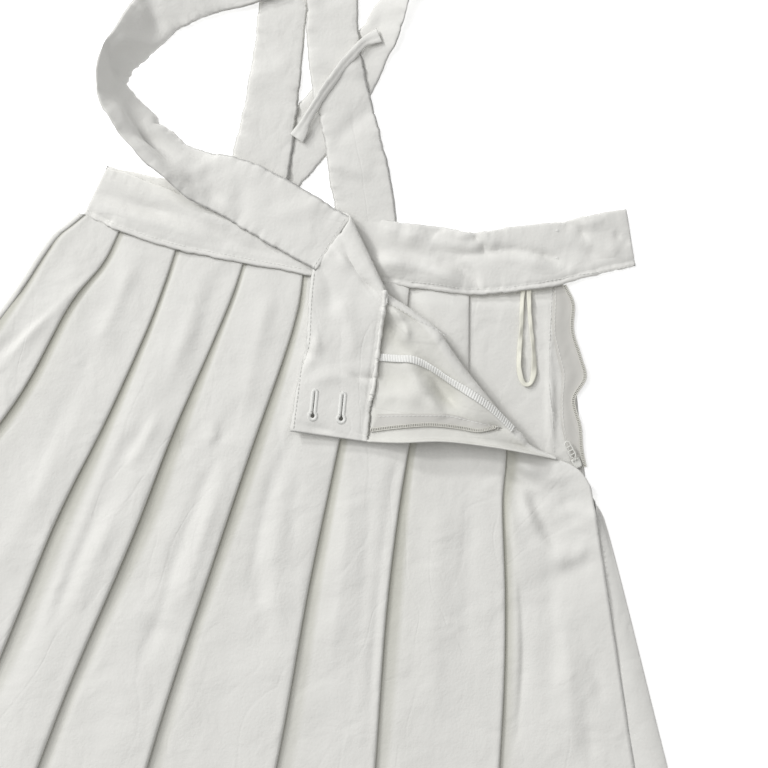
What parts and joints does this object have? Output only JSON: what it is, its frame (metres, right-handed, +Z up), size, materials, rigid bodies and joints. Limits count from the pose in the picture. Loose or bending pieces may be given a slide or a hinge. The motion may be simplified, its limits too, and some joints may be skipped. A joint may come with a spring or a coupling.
{
  "type": "suspender skirt",
  "caption": "Pleated skirt with a waistband and two straps, laid flat, its side zip open and one corner of the front turned over.",
  "frame": {"origin": "centre of the bounding box on the surface that the garment lies on", "axes": "+Y from the hem to the straps, +X to the viewer's right where the zip is, +Z up from the surface, the front of the garment up"},
  "size_m": [0.811, 0.9853, 0.0349],
  "materials": {
    "twill": "matte white cotton twill",
    "tape": "matte woven zip tape",
    "satin": "cream satin ribbon",
    "zip_metal": "off-white lacquer",
    "button": "white resin"
  },
  "bodies": {
    "garment": {"front_panel": "twill", "zip_tape_front": "tape", "back_panel": "twill", "front_waistband": "twill", "back_waistband": "twill", "strap_1": "twill", "strap_2": "twill", "keeper_loop": "twill", "hanger_loop": "satin", "zip_tape_back": "tape", "zip_slider": "zip_metal", "button_upper": "button", "button_lower": "button"},
    "pull_tab": {"zip_pull": "zip_metal"}
  },
  "joints": [
    {"name": "pull_tab_hinge", "type": "hinge", "parent": "garment", "child": "pull_tab", "pos_m": [0.19846, -0.04108, 0.00615], "axis": [0.7771, 0.6293, 0], "range_deg": [0, 85]}
  ]
}
